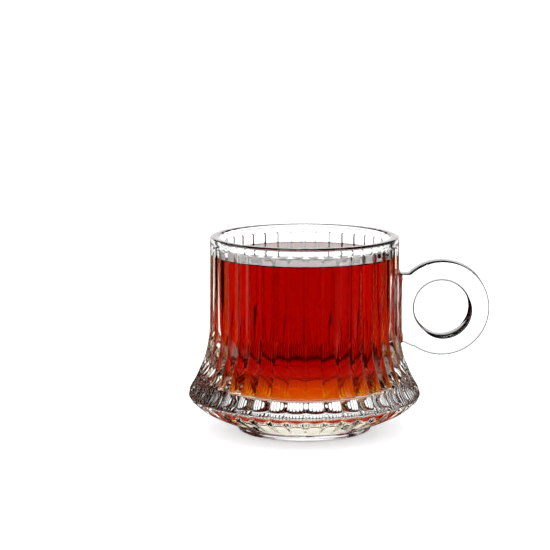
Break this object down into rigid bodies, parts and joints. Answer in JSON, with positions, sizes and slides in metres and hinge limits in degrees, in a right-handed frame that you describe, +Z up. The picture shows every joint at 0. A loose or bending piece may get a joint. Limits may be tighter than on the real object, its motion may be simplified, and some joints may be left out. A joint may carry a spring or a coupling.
{
  "type": "glass cup of tea",
  "caption": "Clear pressed glass tea cup with narrow upright flutes, a flared foot and a ring handle, full of black tea.",
  "frame": {"origin": "centre of the flat underside of the foot, on the cup's axis", "axes": "+Z up along the cup's axis, +X from the axis towards the ring handle"},
  "size_m": [0.1192, 0.092, 0.0775],
  "materials": {
    "clear_glass": "clear pressed soda-lime glass, fire polished",
    "black_tea": "clear red-brown liquid with a still surface"
  },
  "bodies": {
    "root": {"glass_cup": "clear_glass", "tea": "black_tea"}
  },
  "joints": []
}
